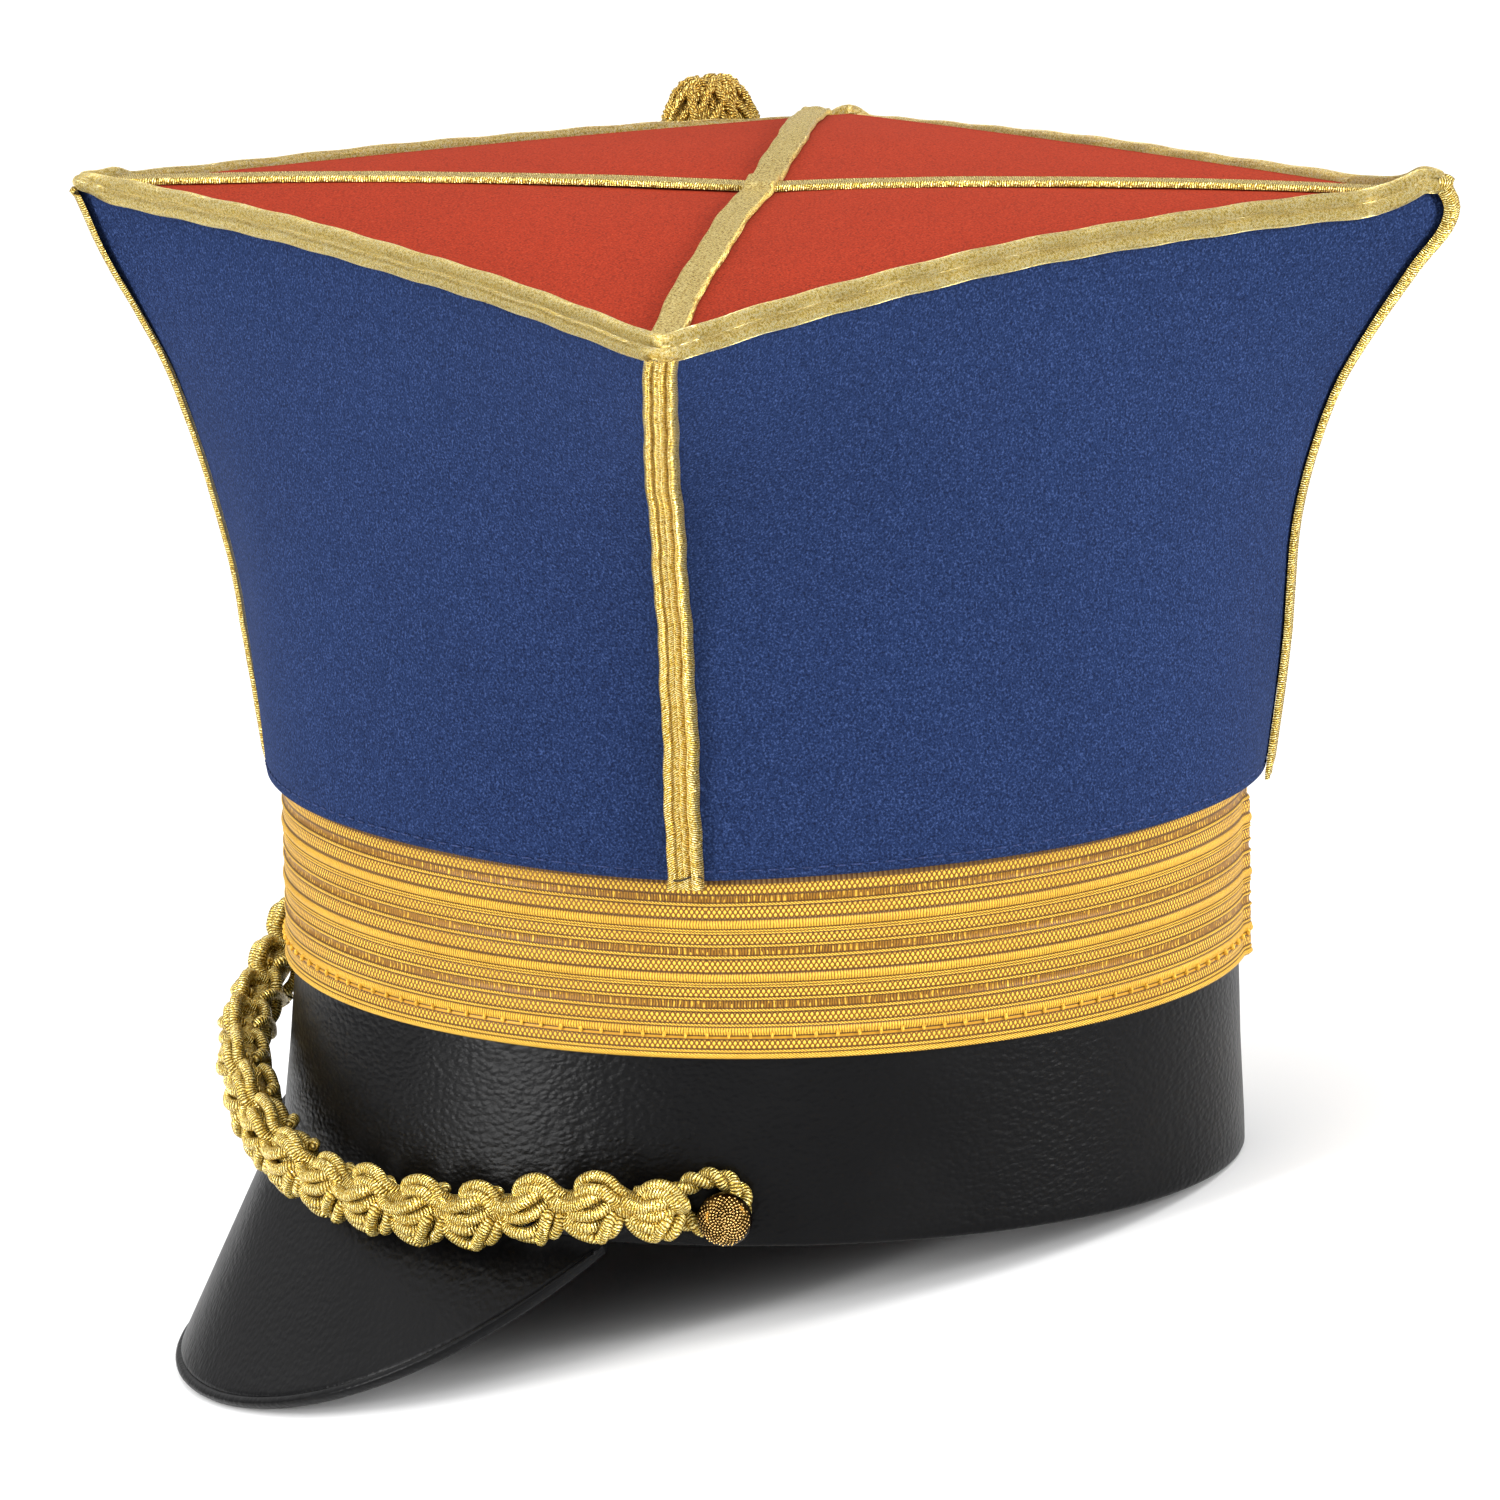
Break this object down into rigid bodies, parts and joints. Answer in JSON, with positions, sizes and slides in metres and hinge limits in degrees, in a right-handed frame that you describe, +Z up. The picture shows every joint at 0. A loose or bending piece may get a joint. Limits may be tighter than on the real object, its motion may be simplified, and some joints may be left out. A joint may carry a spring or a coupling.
{
  "type": "square-topped lancer cap",
  "caption": "Square-topped lancer cap with leather band and peak, gold galloon, blue flared sides, red top with crossed gold braids and a plaited gold chin cord.",
  "frame": {"origin": "centre of the bounding box of the cap as it rests, on the surface it rests on", "axes": "+X the wearer's left, -Y the front with the peak, +Z up from the surface; the cap leans back as it rests, on the peak's edge and the back of the rim"},
  "size_m": [0.2946, 0.3224, 0.2547],
  "materials": {
    "black_leather": "satin",
    "gold_galloon": "satin",
    "gold_braid": "metallic",
    "gold_cord": "metallic",
    "blue_cloth": "matte",
    "red_cloth": "matte",
    "brass": "satin"
  },
  "bodies": {
    "root": {"leather_headband": "black_leather", "leather_peak": "black_leather", "galloon_band": "gold_galloon", "front_left_panel": "blue_cloth", "front_right_panel": "blue_cloth", "back_left_panel": "blue_cloth", "back_right_panel": "blue_cloth", "top_panel": "red_cloth", "top_edge_braid": "gold_braid", "front_seam_braid": "gold_braid", "back_seam_braid": "gold_braid", "left_seam_braid": "gold_braid", "right_seam_braid": "gold_braid", "front_to_back_braid": "gold_braid", "side_to_side_braid": "gold_braid", "cord_button": "brass", "cord_hook": "brass", "chin_cord": "gold_cord", "cord_knot": "gold_cord"}
  },
  "joints": []
}
